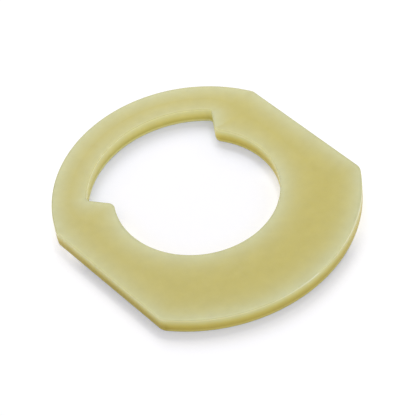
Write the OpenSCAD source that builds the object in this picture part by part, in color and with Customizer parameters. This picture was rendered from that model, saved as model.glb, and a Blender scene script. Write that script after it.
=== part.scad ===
// Flat spacer plate that sits between two shift levers on a shift tube.
// Moulded in one piece: a round rim cut by two flats, around a stepped hole.
// The tube's axis is Z, the lower face is Z = 0, and the flats face -X and +X.
// Seen from above, the narrow side of the rim and the hole's window lie towards +Y.

/* [Plate] */
// Thickness between the lower and upper faces
thickness = 3.2; // [2:0.1:8]
// Distance across the two flats
across_flats = 51.2; // [48:0.1:54]

/* [Rim] */
// Radius of the rim on the narrow side
narrow_rim_r = 28.0; // [27:0.1:31]
// Radius of the rim on the wide side
wide_rim_r = 31.6; // [29:0.1:40]
// Rounding of the two corners between the narrow rim and the flats
narrow_corner_r = 1.3; // [0.8:0.1:2.5]
// Rounding of the two corners between the wide rim and the flats
wide_corner_r = 2.7; // [0.8:0.1:6]

/* [Tube seat] */
// Outer diameter of the tube that the spacer sits on
tube_d = 31.75; // [28:0.05:34]
// Radial gap between the tube and the seat
tube_gap = 0.125; // [0.05:0.005:0.5]

/* [Window] */
// Radius of the wider arc of the hole
window_r = 21.3; // [20:0.1:23]
// Angle between the two straight step faces at the ends of the window
window_spread = 70; // [50:1:90]
// How far behind the tube's axis, towards -Y, the lines of the step faces meet
window_apex = 9.6; // [6:0.1:13]
// Rounding where each step face meets the seat
crest_r = 1.6; // [0.8:0.1:2.5]
// Rounding where each step face meets the window's arc
root_r = 0.9; // [0.3:0.1:2]

/* [Edges] */
// Rounding of every upper edge
upper_edge_r = 0.2; // [0.1:0.05:0.75]
// Rounding of every lower edge, where the mould's halves met
lower_edge_r = 0.1; // [0.05:0.05:0.75]

/* [Hidden] */
// Facets of a full turn, and of the small edge roundings
$fn = 72;
edge_fn = 16;
// How far cutting shapes reach past what they cut
margin = 1;
// How far each corner round stands proud of the two walls that it joins
proud = 0.005;

seat_r = tube_d / 2 + tube_gap;
half_flats = across_flats / 2;
upper_z = thickness - upper_edge_r;

function direction(angle) = [cos(angle), sin(angle)];
function heading(point) = atan2(point.y, point.x);
function other_leg(hypotenuse, leg) = sqrt(hypotenuse ^ 2 - leg ^ 2);

// Centre of a corner round that touches the flat and the rim from inside
function rim_corner(rim_r, corner_r) =
    let (x = half_flats + proud - corner_r)
    [x, other_leg(rim_r + proud - corner_r, x)];

narrow_corner = rim_corner(narrow_rim_r, narrow_corner_r);
wide_corner = rim_corner(wide_rim_r, wide_corner_r);

// The step face on +X runs at step_angle, step_side points from it into the window,
// and step_offset is its place along step_side, measured from the tube's axis
step_angle = 90 - window_spread / 2;
step_side = step_angle + 90;
step_offset = -window_apex * cos(step_angle);

// Point at this distance from the tube's axis, and at this offset, towards the window,
// from the line through that axis that runs along the step face
function beside_step(offset, distance) =
    offset * direction(step_side) + other_leg(distance, offset) * direction(step_angle);

crest = beside_step(step_offset - crest_r + proud, seat_r + crest_r - proud);
root = beside_step(step_offset + root_r - proud, window_r - root_r + proud);

// What a rounded edge takes off a square one, around the centre of the rounding
module edge_waste(edge_r) {
    difference() {
        square(edge_r + margin);
        circle(edge_r, $fn = edge_fn);
    }
}

// Section of the plate from an axis out to a wall at radius r
module plate_section(r) {
    difference() {
        square([r, thickness]);
        translate([r - upper_edge_r, upper_z]) edge_waste(upper_edge_r);
        translate([r - lower_edge_r, lower_edge_r]) mirror([0, 1]) edge_waste(lower_edge_r);
    }
}

// Section of a hole from its axis out to a wall at radius r, flared by the wall's edges
module hole_section(r) {
    translate([0, -margin]) square([r, thickness + 2 * margin]);
    intersection() {
        translate([0, upper_z]) square([r + upper_edge_r, upper_edge_r + margin]);
        translate([r + upper_edge_r, upper_z]) mirror([1, 0]) edge_waste(upper_edge_r);
    }
    intersection() {
        translate([0, -margin]) square([r + lower_edge_r, lower_edge_r + margin]);
        translate([r + lower_edge_r, lower_edge_r]) rotate(180) edge_waste(lower_edge_r);
    }
}

module both_sides() {
    children();
    mirror([1, 0, 0]) children();
}

// Wedge from a corner round's centre out past the corner, between two headings
module corner_wedge(centre, corner_r, from, to) {
    reach = 4 * corner_r;
    translate([centre.x, centre.y, -margin]) linear_extrude(thickness + 2 * margin)
        polygon([[0, 0], reach * direction(from), 2 * reach * direction((from + to) / 2),
            reach * direction(to)]);
}

// Half of a round plate, with some overlap onto the other half
module half_disc(rim_r, start) {
    overlap = 5;
    rotate(start - overlap) rotate_extrude(angle = 180 + 2 * overlap) plate_section(rim_r);
}

// The rim and the flats, with sharp corners in plan
module sharp_outline() {
    intersection() {
        union() {
            half_disc(narrow_rim_r, 0);
            half_disc(wide_rim_r, 180);
        }
        rotate([90, 0, 0]) linear_extrude(2 * (narrow_rim_r + wide_rim_r), center = true)
            both_sides() plate_section(half_flats);
    }
}

module outline() {
    difference() {
        sharp_outline();
        both_sides() {
            corner_wedge(narrow_corner, narrow_corner_r, 0, heading(narrow_corner));
            mirror([0, 1, 0]) corner_wedge(wide_corner, wide_corner_r, 0, heading(wide_corner));
        }
    }
    both_sides() {
        translate(narrow_corner) rotate_extrude() plate_section(narrow_corner_r);
        mirror([0, 1, 0]) translate(wide_corner) rotate_extrude() plate_section(wide_corner_r);
    }
}

// Everything on the window's side of the step face on +X
module beyond_step() {
    reach = 2 * window_r;
    rotate(step_angle) translate([-reach, step_offset + reach, 0]) mirror([0, 1, 0])
        rotate([90, 0, 90]) linear_extrude(2 * reach) hole_section(reach);
}

// The wider part of the hole, between the two step faces
module window() {
    difference() {
        intersection() {
            rotate_extrude() hole_section(window_r);
            beyond_step();
            mirror([1, 0, 0]) beyond_step();
        }
        both_sides() corner_wedge(root, root_r, step_side - 180, heading(root));
    }
    both_sides() translate(root) rotate_extrude() hole_section(root_r);
}

module hole() {
    rotate_extrude() hole_section(seat_r);
    window();
}

module spacer() {
    color([0.79, 0.75, 0.50]) {
        difference() {
            outline();
            hole();
            both_sides() corner_wedge(crest, crest_r, step_side, 180 + heading(crest));
        }
        both_sides() translate(crest) rotate_extrude() plate_section(crest_r);
    }
}

spacer();
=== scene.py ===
"""Looks of a moulded nylon shift lever spacer, on a pale floor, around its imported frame.

All lengths are metres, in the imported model's frame: the shift tube's axis is Z, the
lower face is Z = 0, the flats face -X and +X, and the hole's window lies towards +Y.
Bearings are degrees around that axis, from +X towards +Y.
"""

import math
from types import SimpleNamespace

import bpy
import numpy as np
from mathutils import Matrix, Vector
from mathutils.kdtree import KDTree


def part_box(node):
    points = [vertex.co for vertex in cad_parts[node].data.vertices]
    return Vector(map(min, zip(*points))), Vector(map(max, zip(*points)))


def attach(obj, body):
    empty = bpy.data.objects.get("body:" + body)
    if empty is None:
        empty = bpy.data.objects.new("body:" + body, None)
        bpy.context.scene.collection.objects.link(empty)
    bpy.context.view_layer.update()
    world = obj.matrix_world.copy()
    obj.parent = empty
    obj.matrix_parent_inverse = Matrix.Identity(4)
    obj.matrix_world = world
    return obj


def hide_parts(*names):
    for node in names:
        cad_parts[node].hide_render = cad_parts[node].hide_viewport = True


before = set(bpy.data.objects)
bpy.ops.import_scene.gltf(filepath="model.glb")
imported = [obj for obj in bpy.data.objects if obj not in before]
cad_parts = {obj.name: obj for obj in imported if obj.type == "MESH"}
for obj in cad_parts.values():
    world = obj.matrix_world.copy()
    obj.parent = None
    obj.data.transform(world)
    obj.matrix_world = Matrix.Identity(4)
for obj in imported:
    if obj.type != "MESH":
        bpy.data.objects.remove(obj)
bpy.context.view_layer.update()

MM = 0.001
FULL_TURN = 360

# Sizes that the frame's box gives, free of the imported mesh's facets
NODE_LOW, NODE_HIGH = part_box("spacer")
HALF_FLATS = round(NODE_HIGH.x, 4)
THICKNESS = round(NODE_HIGH.z, 4)
NARROW_RIM_R = round(NODE_HIGH.y, 4)
WIDE_RIM_R = round(-NODE_LOW.y, 4)

# Sizes inside that box
NARROW_CORNER_R = 1.3 * MM
WIDE_CORNER_R = 2.7 * MM
SEAT_R = 16.0 * MM
WINDOW_R = 21.3 * MM
WINDOW_SPREAD = 70
WINDOW_APEX = 9.6 * MM
CREST_R = 1.6 * MM
ROOT_R = 0.9 * MM
UPPER_EDGE_R = 0.2 * MM
LOWER_EDGE_R = 0.1 * MM

# Camera, as the photograph was taken, with angles in degrees and its lens in millimetres
CAMERA_AT = (-0.14533, -0.19915, 0.27656)
CAMERA_HEADING = 36.515
CAMERA_TILT = 41.474
CAMERA_ROLL = 7.762
CAMERA_LENS = 166.52
SENSOR_WIDTH = 36
CAMERA_CLIP = 0.01, 10

# The key lamp's bearing, which the painted shades of the walls and the floor follow too
KEY_AZIMUTH = 57
LAMP_DISTANCE = 0.7
WORLD_LIGHT = 0.67


# Outlines in plan


def direction(angle):
    return np.array([math.cos(math.radians(angle)), math.sin(math.radians(angle))])


def heading(point):
    return math.degrees(math.atan2(point[1], point[0]))


def other_leg(hypotenuse, leg):
    return math.sqrt(hypotenuse**2 - leg**2)


def arc(centre, radius, start, end, side, spacing):
    """side is 1 where the material is on the centre's side of the arc, and -1 elsewhere."""
    return {"length": radius * math.radians(abs(end - start)), "spacing": spacing,
            "at": lambda t: (centre + radius * direction(start + t * (end - start)),
                             side * direction(start + t * (end - start)))}


def line(start, end, normal, spacing):
    return {"length": float(np.linalg.norm(end - start)), "spacing": spacing,
            "at": lambda t: (start + t * (end - start), direction(normal))}


# The mesh's columns are this far apart, along the long stretches and around the small corners
LONG = 0.24 * MM
SHORT = 0.08 * MM


def rim_segments():
    def corner(rim_r, corner_r):
        x = HALF_FLATS - corner_r
        return np.array([x, other_leg(rim_r - corner_r, x)])

    def on_flat(side, y):
        return np.array([side * HALF_FLATS, y])

    flip_x = np.array([-1, 1])
    flip_y = np.array([1, -1])
    narrow = corner(NARROW_RIM_R, NARROW_CORNER_R)
    wide = corner(WIDE_RIM_R, WIDE_CORNER_R) * flip_y
    up, down = heading(narrow), heading(wide)
    origin = np.zeros(2)
    return [
        line(on_flat(1, 0), on_flat(1, narrow[1]), 0, LONG),
        arc(narrow, NARROW_CORNER_R, 0, up, 1, SHORT),
        arc(origin, NARROW_RIM_R, up, 180 - up, 1, LONG),
        arc(narrow * flip_x, NARROW_CORNER_R, 180 - up, 180, 1, SHORT),
        line(on_flat(-1, narrow[1]), on_flat(-1, wide[1]), 180, LONG),
        arc(wide * flip_x, WIDE_CORNER_R, 180, 180 - down, 1, SHORT),
        arc(origin, WIDE_RIM_R, 180 - down, 360 + down, 1, LONG),
        arc(wide, WIDE_CORNER_R, 360 + down, 360, 1, SHORT),
        line(on_flat(1, wide[1]), on_flat(1, 0), 360, LONG),
    ]


def hole_segments():
    # The step face on +X runs along this angle, and across points from it into the window
    along = 90 - WINDOW_SPREAD / 2
    across = along + 90
    offset = -WINDOW_APEX * math.cos(math.radians(along))

    def beside_step(shift, distance):
        return shift * direction(across) + other_leg(distance, shift) * direction(along)

    flip_x = np.array([-1, 1])
    crest = beside_step(offset - CREST_R, SEAT_R + CREST_R)
    root = beside_step(offset + ROOT_R, WINDOW_R - ROOT_R)
    to_crest, to_root = heading(crest), heading(root)
    foot = crest + CREST_R * direction(across)
    top = root - ROOT_R * direction(across)
    origin = np.zeros(2)
    return [
        arc(origin, SEAT_R, 0, to_crest, -1, LONG),
        arc(crest, CREST_R, 180 + to_crest, across, 1, SHORT),
        line(foot, top, across, SHORT),
        arc(root, ROOT_R, across - 180, to_root, -1, SHORT),
        arc(origin, WINDOW_R, to_root, 180 - to_root, -1, LONG),
        arc(root * flip_x, ROOT_R, 180 - to_root, 360 - across, -1, SHORT),
        line(top * flip_x, foot * flip_x, 180 - across, SHORT),
        arc(crest * flip_x, CREST_R, 180 - across, -to_crest, 1, SHORT),
        arc(origin, SEAT_R, 180 - to_crest, 360, -1, LONG),
    ]


# Points along a segment are about this far apart, and there are at least this many
WALK_STEP = 0.02 * MM
LEAST_STEPS = 4


def walked(segments):
    """Many close points along the segments, with their normals out of the material."""
    points, normals, spacing = [], [], []
    for s in segments:
        count = max(LEAST_STEPS, round(s["length"] / WALK_STEP))
        for i in range(count):
            point, normal = s["at"](i / count)
            points.append(point)
            normals.append(normal)
            spacing.append(s["spacing"])
    points, normals = np.array(points), np.array(normals)
    steps = np.linalg.norm(np.roll(points, -1, 0) - points, axis=1)
    return points, normals, np.array(spacing), steps


def blurred(values, steps, reach):
    """A closed row of values that rises by a full turn, averaged over reach either way."""
    count = max(1, round(reach / steps.mean()))
    row = np.concatenate([values[-count:] - FULL_TURN, values, values[:count] + FULL_TURN])
    sums = np.concatenate([[0], np.cumsum(row)])
    width = 2 * count + 1
    return (sums[width:] - sums[:-width]) / width


# The bearings of a loop's points are evened out over this length, so that the lines between
# the pairs fan out gently around the corners
BLUR_REACH = 4 * MM
GRID_PER_DEGREE = 20


def paired_loops():
    """Points of the rim and of the hole, in pairs that face each other across the plate."""
    found = {}
    for name, segments in (("rim", rim_segments()), ("hole", hole_segments())):
        points, normals, spacing, steps = walked(segments)
        turn = np.degrees(np.unwrap(np.arctan2(points[:, 1], points[:, 0])))
        bearing = blurred(blurred(turn, steps, BLUR_REACH), steps, BLUR_REACH)
        found[name] = (points, normals, bearing, steps / spacing)
    # How many samples each degree of bearing needs, from the loop that needs more there
    grid = np.linspace(0, FULL_TURN, FULL_TURN * GRID_PER_DEGREE + 1)
    need = []
    for points, normals, bearing, wanted in found.values():
        total = np.interp(grid, np.append(bearing, bearing[0] + FULL_TURN) - bearing[0],
                          np.append(0, np.cumsum(wanted)))
        rate = np.gradient(total, grid)
        need.append(np.interp((grid - bearing[0]) % FULL_TURN, grid, rate))
    placed = np.cumsum(np.maximum(*need)) * (grid[1] - grid[0])
    count = int(placed[-1])
    at = np.interp((np.arange(count) + 0.5) * placed[-1] / count, placed, grid)
    loops = {}
    for name, (points, normals, bearing, wanted) in found.items():
        order = (at - bearing[0]) % FULL_TURN
        index = np.interp(order, np.append(bearing, bearing[0] + FULL_TURN) - bearing[0],
                          np.arange(len(bearing) + 1))
        low = np.floor(index).astype(int)
        share = (index - low)[:, None]
        a, b = low % len(points), (low + 1) % len(points)
        normal = normals[a] * (1 - share) + normals[b] * share
        loops[name] = (points[a] * (1 - share) + points[b] * share,
                       normal / np.linalg.norm(normal, axis=1)[:, None])
    return loops


# The spacer's mesh


# Loops of the section: around an upper edge, down a wall, and across the upper and lower faces,
# where they crowd by this share near the walls
EDGE_LOOPS = 9
WALL_LOOPS = 8
UPPER_LOOPS = 36
LOWER_LOOPS = 20
CROWDING = 0.8


def face_steps(count):
    """Shares of the way across the plate, closer together near both walls."""
    t = np.linspace(0, 1, count)
    return t - CROWDING * np.sin(2 * math.pi * t) / (2 * math.pi)


def section():
    """Once round the plate's section: loops as (wall, offset out of it, Z, share across)."""
    upper_z = THICKNESS - UPPER_EDGE_R
    lower_z = LOWER_EDGE_R
    quarter = [math.radians(a) for a in np.linspace(0, 90, EDGE_LOOPS)]
    upper = [(UPPER_EDGE_R * (math.sin(a) - 1), upper_z + UPPER_EDGE_R * math.cos(a))
             for a in quarter]
    lower = [(LOWER_EDGE_R * (math.cos(a) - 1), lower_z - LOWER_EDGE_R * math.sin(a))
             for a in quarter[::2]]
    wall = [(0, lower_z + (upper_z - lower_z) * t) for t in np.linspace(1, 0, WALL_LOOPS)[1:-1]]
    down = upper + wall + lower
    loops = [("across", -UPPER_EDGE_R, THICKNESS, t) for t in face_steps(UPPER_LOOPS)[1:-1]]
    loops += [("rim", offset, z, 1) for offset, z in down]
    loops += [("across", -LOWER_EDGE_R, 0, t) for t in face_steps(LOWER_LOOPS)[-2:0:-1]]
    loops += [("hole", offset, z, 0) for offset, z in reversed(down)]
    return loops


def spacer_mesh():
    loops = paired_loops()
    count = len(loops["rim"][0])
    rows = []
    for wall, offset, z, share in section():
        ends = {name: points + offset * normals for name, (points, normals) in loops.items()}
        plan = ends[wall] if wall in ends else ends["hole"] * (1 - share) + ends["rim"] * share
        rows.append(np.column_stack([plan, np.full(count, z)]))
    vertices = np.concatenate(rows)
    n_rows = len(rows)
    row, column = np.meshgrid(np.arange(n_rows), np.arange(count), indexing="ij")
    here = row * count
    there = (row + 1) % n_rows * count
    nxt = (column + 1) % count
    quads = np.stack([here + column, there + column, there + nxt, here + nxt], -1).reshape(-1, 4)
    mesh = bpy.data.meshes.new("spacer_nylon")
    mesh.from_pydata(vertices.tolist(), [], quads.tolist())
    mesh.polygons.foreach_set("use_smooth", np.ones(len(quads), bool))
    add_wall_places(mesh, vertices)
    mesh.update()
    return mesh


# Walls of the hole and the flats pale the faces beside them less with painted light, by up to these
# they face away from the light. The flats' share grows over the taper from both their ends
HOLE_DIM = 0.34
FLAT_DIM = 0.22
FLAT_TAPER = 6 * MM
FLAT_MARGIN = 0.01 * MM
# The shares are full where the cosine of the wall's turn to the light is this far below 0
DIM_TURN = 0.4


def add_wall_places(mesh, vertices):
    """Attributes for the material, from the nearest wall in plan: how far off it is, the cosine
    of its turn to the light, and how much painted light from it pales the face beside it."""
    rim, hole = walked(rim_segments()), walked(hole_segments())
    points = np.concatenate([rim[0], hole[0]])
    turns = np.concatenate([rim[1], hole[1]]) @ direction(KEY_AZIMUTH)
    on_flat = np.abs(rim[0][:, 0]) > HALF_FLATS - FLAT_MARGIN
    low, high = rim[0][on_flat, 1].min(), rim[0][on_flat, 1].max()
    ends = np.minimum(rim[0][:, 1] - low, high - rim[0][:, 1]) / FLAT_TAPER
    on_flat = on_flat * np.clip(ends, 0, 1)
    dimness = np.concatenate([on_flat * FLAT_DIM, np.full(len(hole[0]), HOLE_DIM)])
    paling = 1 - dimness * np.clip(-turns / DIM_TURN, 0, 1)
    tree = KDTree(len(points))
    for i, (x, y) in enumerate(points):
        tree.insert((x, y, 0), i)
    tree.balance()
    nearest = [tree.find((x, y, 0)) for x, y, z in vertices]
    for name, values in (("wall_distance", [found[2] for found in nearest]),
                         ("wall_turn", [turns[found[1]] for found in nearest]),
                         ("wall_paling", [paling[found[1]] for found in nearest])):
        mesh.attributes.new(name, "FLOAT", "POINT").data.foreach_set("value", values)


# Materials


class Nodes:
    """Short calls for making and linking shader nodes."""

    def __init__(self, owner):
        owner.use_nodes = True
        self.tree = owner.node_tree
        self.tree.nodes.clear()

    def add(self, kind, inputs=None, **settings):
        node = self.tree.nodes.new(kind)
        for key, value in settings.items():
            setattr(node, key, value)
        for key, value in (inputs or {}).items():
            self.put(node.inputs[key], value)
        return node

    def put(self, socket, value):
        if isinstance(value, bpy.types.Node):
            value = value.outputs[0]
        if isinstance(value, bpy.types.NodeSocket):
            self.tree.links.new(value, socket)
        else:
            socket.default_value = value

    def math(self, operation, a, b=0.0, clamp=False):
        return self.add("ShaderNodeMath", {0: a, 1: b}, operation=operation, use_clamp=clamp)

    def times(self, product, *others):
        for other in others:
            product = self.math("MULTIPLY", product, other)
        return product

    def span(self, value, low, high, to_low=0.0, to_high=1.0):
        """to_low at low, to_high at high, even steps between, and level past both."""
        return self.add("ShaderNodeMapRange", {
            "Value": value, "From Min": low, "From Max": high,
            "To Min": to_low, "To Max": to_high})

    def band(self, value, rise, fall):
        """1 between rise and fall, which are the two stretches where it fades in and out."""
        return self.times(self.span(value, *rise), self.span(value, *fall))

    def bell(self, value, reach, power=2):
        """1 at 0, and falling off to both sides over about reach."""
        share = self.math("POWER", self.math("DIVIDE", value, reach), power)
        return self.math("EXPONENT", self.times(share, -1))

    def vector(self, operation, a, b=(0, 0, 0)):
        node = self.add("ShaderNodeVectorMath", {0: a, 1: b}, operation=operation)
        return node.outputs["Value" if operation in ("LENGTH", "DOT_PRODUCT") else "Vector"]

    def axes(self, vector):
        return self.add("ShaderNodeSeparateXYZ", {0: vector}).outputs

    def attribute(self, name):
        return self.add("ShaderNodeAttribute", attribute_name=name).outputs["Fac"]

    def mix(self, factor, a, b, blend="MIX"):
        node = self.add("ShaderNodeMix", data_type="RGBA", blend_type=blend)
        for key, value in ((0, factor), (6, a), (7, b)):
            self.put(node.inputs[key], value)
        return node.outputs[2]

    def shaded(self, colour, by):
        return self.mix(1.0, colour, by, "MULTIPLY")

    def ramp(self, value, stops):
        node = self.add("ShaderNodeValToRGB", {"Fac": value})
        elements = node.color_ramp.elements
        for at, colour in stops[2:]:
            elements.new(at)
        for element, (at, colour) in zip(elements, stops):
            element.position = at
            element.color = colour
        return node

    def noise(self, place, scale, detail=3.0, roughness=0.55):
        return self.add("ShaderNodeTexNoise", {
            "Vector": place, "Scale": scale, "Detail": detail, "Roughness": roughness})

    def varied(self, place, values, ends, **noise):
        """Noise that is stretched so that its values run to the ends."""
        return self.span(self.noise(place, **noise), *values, *ends)

    def seen(self):
        """1 for rays from the camera, from gloss and through clear things, and 0 for others."""
        rays = self.add("ShaderNodeLightPath").outputs
        seen = self.math("MAXIMUM", rays["Is Camera Ray"], rays["Is Glossy Ray"])
        return self.math("MAXIMUM", seen, rays["Is Transmission Ray"])


def linear(red, green, blue):
    """A colour as shown, 0 to 255, in the renderer's linear terms."""
    def one(v):
        v /= 255
        return v / 12.92 if v <= 0.04045 else ((v + 0.055) / 1.055) ** 2.4
    return one(red), one(green), one(blue), 1.0


WHITE = (1, 1, 1, 1)


def surface_places(n):
    """Where a point of the spacer's surface lies, as sockets that the nylon's parts share."""
    place = n.add("ShaderNodeTexCoord").outputs["Object"]
    x, y, z = n.axes(place)
    facing = n.axes(n.add("ShaderNodeNewGeometry").outputs["Normal"])
    return SimpleNamespace(
        place=place, x=x,
        # As a share of the thickness
        height=n.math("DIVIDE", z, THICKNESS),
        radius=n.vector("LENGTH", n.vector("MULTIPLY", place, (1, 1, 0))),
        # In radians
        bearing=n.math("ARCTAN2", y, x),
        # 1 on the upper and lower faces, 0 on the walls
        level=n.math("ABSOLUTE", facing[2]),
        distance=n.attribute("wall_distance"), turn=n.attribute("wall_turn"))


# Upper and lower faces, far from the walls towards -X and +X, and beside the walls, where painted
# light pales them
BODY = linear(184, 172, 84), linear(184, 171, 71)
PALE = linear(195, 194, 144)
# How far the paling reaches, how steeply it ends, and the clouds that vary its strength
PALE_REACH = 2.7 * MM
PALE_FALL = 1.4
PALE_CLOUDS = {"scale": 140, "values": (0.3, 0.7), "ends": (0.9, 1.1)}


def face_colour(n, at):
    """Painted light: light that enters through the walls is painted into the faces beside them,
    which are paler there.
    """
    clouds = n.varied(at.place, **PALE_CLOUDS)
    paling = n.math("MULTIPLY", n.bell(at.distance, PALE_REACH, PALE_FALL), clouds, clamp=True)
    paling = n.times(paling, n.attribute("wall_paling"))
    body = n.mix(n.span(at.x, -HALF_FLATS, HALF_FLATS), *BODY)
    return n.mix(paling, body, PALE)


# Walls of the rim and seat, and of the window, by shares of their height: the nylon's colour, with
# painted light that makes the top pale and the foot bright, and makes the window's walls paler
# still
WALL_COLOURS = [(0.1, linear(232, 217, 124)), (0.25, linear(207, 186, 83)),
                (0.5, linear(218, 202, 101)), (0.75, linear(228, 220, 144)),
                (0.88, linear(229, 224, 163)), (1.0, linear(234, 228, 175))]
WINDOW_COLOURS = [(0.1, linear(252, 244, 171)), (0.25, linear(217, 204, 105)),
                  (0.5, linear(233, 222, 135)), (0.75, linear(239, 232, 163)),
                  (0.88, linear(240, 235, 177)), (1.0, linear(239, 234, 180))]
# The radii over which the seat's wall ends, and the window's
SEAT_ENDS = SEAT_R + 0.2 * MM, SEAT_R + 0.6 * MM
WINDOW_ENDS = WINDOW_R + 2 * MM, WINDOW_R + MM
# The window's wall is warmer towards +X, over these bearings
WINDOW_TINT = (1.015, 1.005, 0.92, 1)
WINDOW_TINTING = 115, 70
# The seat's wall is painted a little brighter than the rim's, as painted light
SEAT_GLOW = 1.06
# The flats' walls are painted darker and fuller in colour, a painted shade, from the first shade at
# the foot to the second at the top, between these shares of the height
FLAT_SHADES = (0.78, 0.74, 0.53, 1), (0.955, 0.955, 0.97, 1)
FLAT_SHADING = 0.2, 0.9
FLAT_ENDS = HALF_FLATS - MM, HALF_FLATS - 0.5 * MM
# Other walls are painted a little darker towards the flat on -X, a painted shade
NEAR_FLAT_SHADE = (0.95, 0.93, 0.87, 1)
NEAR_FLAT = -16 * MM, -24 * MM
# Walls that the key lamp lights are painted darker, a painted shade that follows the lamp, from one
# cosine of their turn to it to the other
LIT_WALL = 0.86
LIT_TURNS = 0.1, 0.6


def wall_colour(n, at):
    """Brighter at the foot, gold above it and pale at the top, which is partly painted light."""
    tinting = n.span(at.bearing, *np.radians(WINDOW_TINTING))
    tint = n.mix(tinting, WHITE, WINDOW_TINT)
    window_walls = n.shaded(n.ramp(at.height, WINDOW_COLOURS), tint)
    in_window = n.band(at.radius, SEAT_ENDS, WINDOW_ENDS)
    walls = n.mix(in_window, n.ramp(at.height, WALL_COLOURS), window_walls)
    walls = n.shaded(walls, n.span(at.radius, *SEAT_ENDS, SEAT_GLOW, 1))
    near_flat = n.mix(n.span(at.x, *NEAR_FLAT), WHITE, NEAR_FLAT_SHADE)
    flat_shade = n.mix(n.span(at.height, *FLAT_SHADING), *FLAT_SHADES)
    on_flat = n.span(n.math("ABSOLUTE", at.x), *FLAT_ENDS)
    walls = n.shaded(walls, n.mix(on_flat, near_flat, flat_shade))
    return n.shaded(walls, n.span(at.turn, *LIT_TURNS, 1, LIT_WALL))


# Where the upper edges start, as shares of the height
UPPER_EDGE = 0.93, 0.95
# Painted light glows through the upper edges that face away from the light, and those that face it
# are painted darker, from one cosine of their turn to it to the other
FAR_EDGE = 1.13
LIT_EDGE = 0.80
EDGE_TURNS = -0.5, 0.2
EDGE_REACH = 0.35 * MM


def edge_glow(n, at):
    """How much brighter or darker the upper edges are painted than what lies beside them, as
    painted light.
    """
    edge = n.times(n.bell(at.distance, EDGE_REACH), n.span(at.height, *UPPER_EDGE))
    return n.mix(edge, WHITE, n.span(at.turn, *EDGE_TURNS, FAR_EDGE, LIT_EDGE))


# Stretches of painted highlight along the rim's upper edge: the bearings over which each fades in
# and out, the shares of the height over which it starts, and how level the edge is where it ends
HIGHLIGHT_STRETCHES = [
    {"rise": (-108, -88), "fall": (-86, -87.5), "heights": UPPER_EDGE, "levels": (0.99, 0.9),
     "strength": 0.75},
    {"rise": (-80, -60), "fall": (-38, -44), "heights": (0.84, 0.90), "levels": (0.9, 0.6),
     "strength": 0.72}]
HIGHLIGHT_COLOUR = linear(252, 250, 222)
HIGHLIGHT_PATCHES = {"scale": 160, "values": (0.35, 0.6), "ends": (0.7, 1)}
HIGHLIGHT_RADII = WIDE_RIM_R - 2 * MM, WIDE_RIM_R - MM
# A faint painted shade line runs beside each stretch, this far in from the wall
SHADE_LINE_PLACE = 0.32 * MM
SHADE_LINE_REACH = 0.2 * MM
SHADE_LINE_DEPTH = 0.91
SHADE_LINE_LEVELS = 0.9, 0.99


def painted_highlight(n, at, colour):
    """A painted highlight: a thin pale line along the front of the upper edge, towards +X."""
    patches = n.varied(at.place, **HIGHLIGHT_PATCHES)
    off_line = n.math("ABSOLUTE", n.math("SUBTRACT", at.distance, SHADE_LINE_PLACE))
    shade_line = n.times(n.bell(off_line, SHADE_LINE_REACH), n.span(at.level, *SHADE_LINE_LEVELS))
    on_rim = n.span(at.radius, *HIGHLIGHT_RADII)
    for stretch in HIGHLIGHT_STRETCHES:
        fades = np.radians([stretch["rise"], stretch["fall"]])
        along = n.times(n.band(at.bearing, *fades), on_rim)
        # A painted shade line beside the painted highlight
        colour = n.shaded(colour, n.span(n.times(shade_line, along), 0, 1, 1, SHADE_LINE_DEPTH))
        # The painted highlight itself
        highlight_share = n.times(
            along, n.times(patches, stretch["strength"]),
            n.span(at.height, *stretch["heights"]), n.span(at.level, *stretch["levels"]))
        colour = n.mix(highlight_share, colour, HIGHLIGHT_COLOUR)
    return colour


# How level the surface is where the walls' colours start, and where they are full
WALL_LEVELS = 0.98, 0.5
# Faint clouding in the moulding
MOTTLE = {"scale": 420, "detail": 4, "values": (0.25, 0.75), "ends": (0.96, 1.04)}
# Fine grain and larger scuffs, and how deep they are
GRAIN = {"scale": 5200, "detail": 2}
SCUFFS = {"scale": 900, "detail": 5, "roughness": 0.7}
SCUFF_SHARE = 1.5
BUMP_DEPTH = 0.02 * MM
BUMP_STRENGTH = 0.25
# The scuffs' values, and the roughness at them: of the faces, and of the upper edges, which are
# smoother from one levelness to the other
SCUFF_VALUES = 0.2, 0.8
FACE_ROUGHNESS = 0.30, 0.44
EDGE_ROUGHNESS = 0.10, 0.18
SMOOTH_LEVELS = 0.999, 0.985


def nylon():
    """Pale, slightly translucent plastic with a satin surface."""
    material = bpy.data.materials.new("nylon")
    n = Nodes(material)
    at = surface_places(n)
    on_wall = n.span(at.level, *WALL_LEVELS)
    colour = n.mix(on_wall, face_colour(n, at), wall_colour(n, at))
    # Painted light on the upper edges: a glow, a highlight and a shade line beside it
    colour = painted_highlight(n, at, n.shaded(colour, edge_glow(n, at)))
    colour = n.shaded(colour, n.varied(at.place, **MOTTLE))
    grain = n.noise(at.place, **GRAIN)
    scuffs = n.noise(at.place, **SCUFFS)
    bump = n.add("ShaderNodeBump", {
        "Strength": BUMP_STRENGTH, "Distance": BUMP_DEPTH,
        "Height": n.math("ADD", grain, n.times(scuffs, SCUFF_SHARE))})
    rounding = n.times(n.span(at.height, *UPPER_EDGE), n.span(at.level, *SMOOTH_LEVELS))
    rough = n.span(scuffs, *SCUFF_VALUES, *FACE_ROUGHNESS)
    smooth = n.span(scuffs, *SCUFF_VALUES, *EDGE_ROUGHNESS)
    roughness = n.math("ADD", n.times(rough, n.math("SUBTRACT", 1, rounding)),
                       n.times(smooth, rounding))
    shader = n.add("ShaderNodeBsdfPrincipled", {
        "Base Color": colour, "Roughness": roughness, "Normal": bump,
        "IOR": 1.53, "Specular IOR Level": 0.3,
        "Subsurface Weight": 0.2, "Subsurface Radius": (2.5, 2.2, 1.4), "Subsurface Scale": MM})
    n.add("ShaderNodeOutputMaterial", {"Surface": shader})
    return material


PAPER = (0.91, 0.91, 0.92, 1), (0.92, 0.92, 0.93, 1)
PAPER_GRAIN = 60
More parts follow.
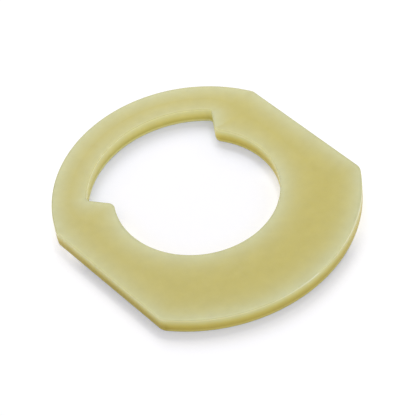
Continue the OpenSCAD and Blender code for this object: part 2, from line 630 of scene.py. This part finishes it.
# From the first radius to the second, the floor goes from the hole's looks to those outside
HOLE_ENDS = WINDOW_R, WINDOW_R + 2 * MM
# The paper is painted a little darker in the hole, a painted shade
HOLE_PAPER_SHADE = 0.95
# Light that the floor gives off for seen rays alone, so that it shows white
FLOOR_LIFT = (0.15, 0.147, 0.18, 1)
# The painted contact shade's colour close beside the spacer's walls, and how far it reaches:
# everywhere, and in the hole's half that lies towards the key lamp
CONTACT_SHADE = (0.58, 0.66, 0.90, 1)
CONTACT_REACH = 3 * MM, 7 * MM
# The contact shade is full between the first bearings in the hole, and only faint between the
# second ones outside the rim. Each pair is where it fades in, and where it fades out
HOLE_SHADE = (-22, -6), (165, 145)
RIM_BARE = (-72, -60), (174, 164)
# Where it is faint: its colour, and the painted light added to the lift to lighten the shade there,
# in the hole and outside it
BARE_SHADE = (0.86, 0.89, 1.0, 1)
BARE_LIFT = 0.2, 0.5


def floor_material():
    """White paper with a painted cool contact shade, lifted by some light of its own where it is
    seen.
    """
    material = bpy.data.materials.new("floor")
    n = Nodes(material)
    place = n.add("ShaderNodeTexCoord").outputs["Object"]
    x, y, z = n.axes(place)
    radius = n.vector("LENGTH", place)
    bearing = n.math("ARCTAN2", y, x)
    paper = n.mix(n.noise(place, PAPER_GRAIN), *PAPER)
    paper = n.shaded(paper, n.span(radius, *HOLE_ENDS, HOLE_PAPER_SHADE, 1))
    toward_key = n.vector("DOT_PRODUCT", place, (*direction(KEY_AZIMUTH), 0))
    reach = n.math("MINIMUM", n.span(toward_key, 0, SEAT_R / 2, *CONTACT_REACH),
                   n.span(radius, *reversed(HOLE_ENDS), *CONTACT_REACH))
    openness = n.add("ShaderNodeAmbientOcclusion", {"Distance": reach}, samples=8).outputs["AO"]
    full_in_hole, bare_on_rim = (
        n.band(bearing, *np.radians(fades)) for fades in (HOLE_SHADE, RIM_BARE))
    bare_in_hole = n.math("SUBTRACT", 1, full_in_hole)
    bare = n.mix(n.span(radius, *HOLE_ENDS), bare_in_hole, bare_on_rim)
    paper = n.mix(openness, n.mix(bare, CONTACT_SHADE, BARE_SHADE), paper)
    diffuse = n.add("ShaderNodeBsdfDiffuse", {"Color": paper})
    # Painted light, added to the lift where the shade is faint
    more = n.times(bare, n.math("SUBTRACT", 1, openness), n.span(radius, *HOLE_ENDS, *BARE_LIFT))
    lift = n.mix(1.0, FLOOR_LIFT, more, "ADD")
    glow = n.add("ShaderNodeEmission", {"Color": lift, "Strength": n.seen()})
    n.add("ShaderNodeOutputMaterial", {
        "Surface": n.add("ShaderNodeAddShader", {0: diffuse, 1: glow})})
    return material


# Scene


def make_camera():
    data = bpy.data.cameras.new("camera")
    data.sensor_fit = "HORIZONTAL"
    data.sensor_width = SENSOR_WIDTH
    data.lens = CAMERA_LENS
    data.clip_start, data.clip_end = CAMERA_CLIP
    camera = bpy.data.objects.new("camera", data)
    matrix = Matrix.Translation(CAMERA_AT)
    for angle, axis in ((-CAMERA_HEADING, "Z"), (CAMERA_TILT, "X"), (-CAMERA_ROLL, "Z")):
        matrix = matrix @ Matrix.Rotation(math.radians(angle), 4, axis)
    camera.matrix_world = matrix
    bpy.context.scene.collection.objects.link(camera)
    bpy.context.scene.camera = camera


def make_spacer():
    spacer = bpy.data.objects.new("spacer_moulding", spacer_mesh())
    bpy.context.scene.collection.objects.link(spacer)
    spacer.data.materials.append(nylon())
    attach(spacer, "root")
    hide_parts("spacer")


FLOOR_HALF = 1.5
# Just clear of the lower face
FLOOR_Z = -0.01 * MM


def make_floor():
    mesh = bpy.data.meshes.new("floor")
    corners = [(x * FLOOR_HALF, y * FLOOR_HALF, 0) for x, y in ((-1, -1), (1, -1), (1, 1), (-1, 1))]
    mesh.from_pydata(corners, [], [(0, 1, 2, 3)])
    floor = bpy.data.objects.new("floor", mesh)
    floor.location.z = FLOOR_Z
    bpy.context.scene.collection.objects.link(floor)
    floor.data.materials.append(floor_material())


def make_world():
    """Plain pale light, which is white where it is seen."""
    world = bpy.data.worlds.new("studio")
    bpy.context.scene.world = world
    n = Nodes(world)
    strength = n.span(n.seen(), 0, 1, WORLD_LIGHT, 1)
    n.add("ShaderNodeOutputWorld", {
        "Surface": n.add("ShaderNodeBackground", {"Color": WHITE, "Strength": strength})})


def soft_box(name, azimuth, elevation, size, power):
    """A round lamp that faces the spacer. Size is metres across, and power is watts."""
    lamp = bpy.data.lights.new(name, "AREA")
    lamp.shape = "DISK"
    lamp.size = size
    lamp.energy = power
    box = bpy.data.objects.new(name, lamp)
    plan = math.cos(math.radians(elevation))
    out = Vector((*(direction(azimuth) * plan), math.sin(math.radians(elevation))))
    box.location = out * LAMP_DISTANCE
    box.rotation_euler = out.to_track_quat("Z", "Y").to_euler()
    bpy.context.scene.collection.objects.link(box)


make_camera()
make_spacer()
make_floor()
make_world()
soft_box("key", KEY_AZIMUTH, elevation=43, size=0.375, power=1.7)
soft_box("side", azimuth=24, elevation=59, size=0.12, power=0.50)
bpy.context.scene.view_settings.view_transform = "Standard"
